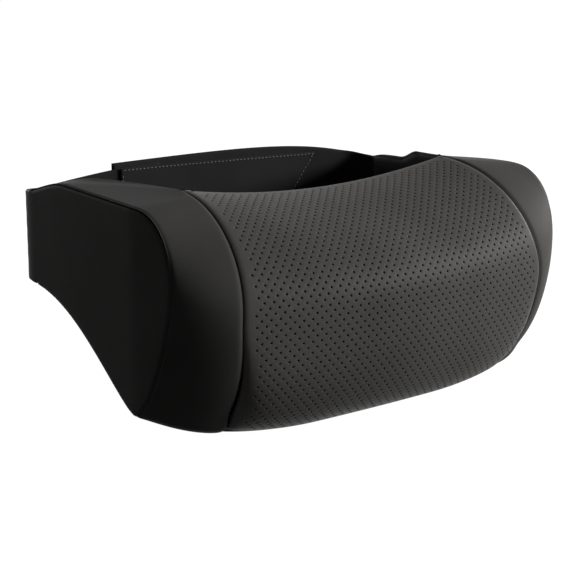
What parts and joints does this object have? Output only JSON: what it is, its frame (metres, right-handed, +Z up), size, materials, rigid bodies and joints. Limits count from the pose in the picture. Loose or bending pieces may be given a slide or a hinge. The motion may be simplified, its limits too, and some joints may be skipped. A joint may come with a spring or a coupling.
{
  "type": "car neck pillow",
  "caption": "Padded neck cushion in a leather cover with a perforated front, side wings and a rear strap that closes round a seat's headrest.",
  "frame": {"origin": "on the floor, under the middle of the object's box", "axes": "+X to the right as seen from the front, +Y back towards the headrest, +Z up"},
  "size_m": [0.2921, 0.221, 0.14],
  "materials": {
    "perforated_leather": "satin, perforated",
    "smooth_leather": "satin",
    "lining_leather": "matt",
    "foam": "open-cell foam",
    "hook_and_loop": "napped",
    "zip_tape": "woven",
    "zip_metal": "black, satin"
  },
  "bodies": {
    "root": {"foam_core": "foam", "centre_panel": "perforated_leather", "base_panel": "smooth_leather", "left_bolster_panel": "smooth_leather", "right_bolster_panel": "smooth_leather", "left_wing_panel": "smooth_leather", "right_wing_panel": "smooth_leather", "left_wing_lining": "lining_leather", "right_wing_lining": "lining_leather", "back_panel": "lining_leather", "closure_tab": "smooth_leather", "loop_patch": "hook_and_loop", "hook_patch": "hook_and_loop", "zip_tape": "zip_tape", "zip_slider": "zip_metal", "zip_pull": "zip_metal"}
  },
  "joints": []
}
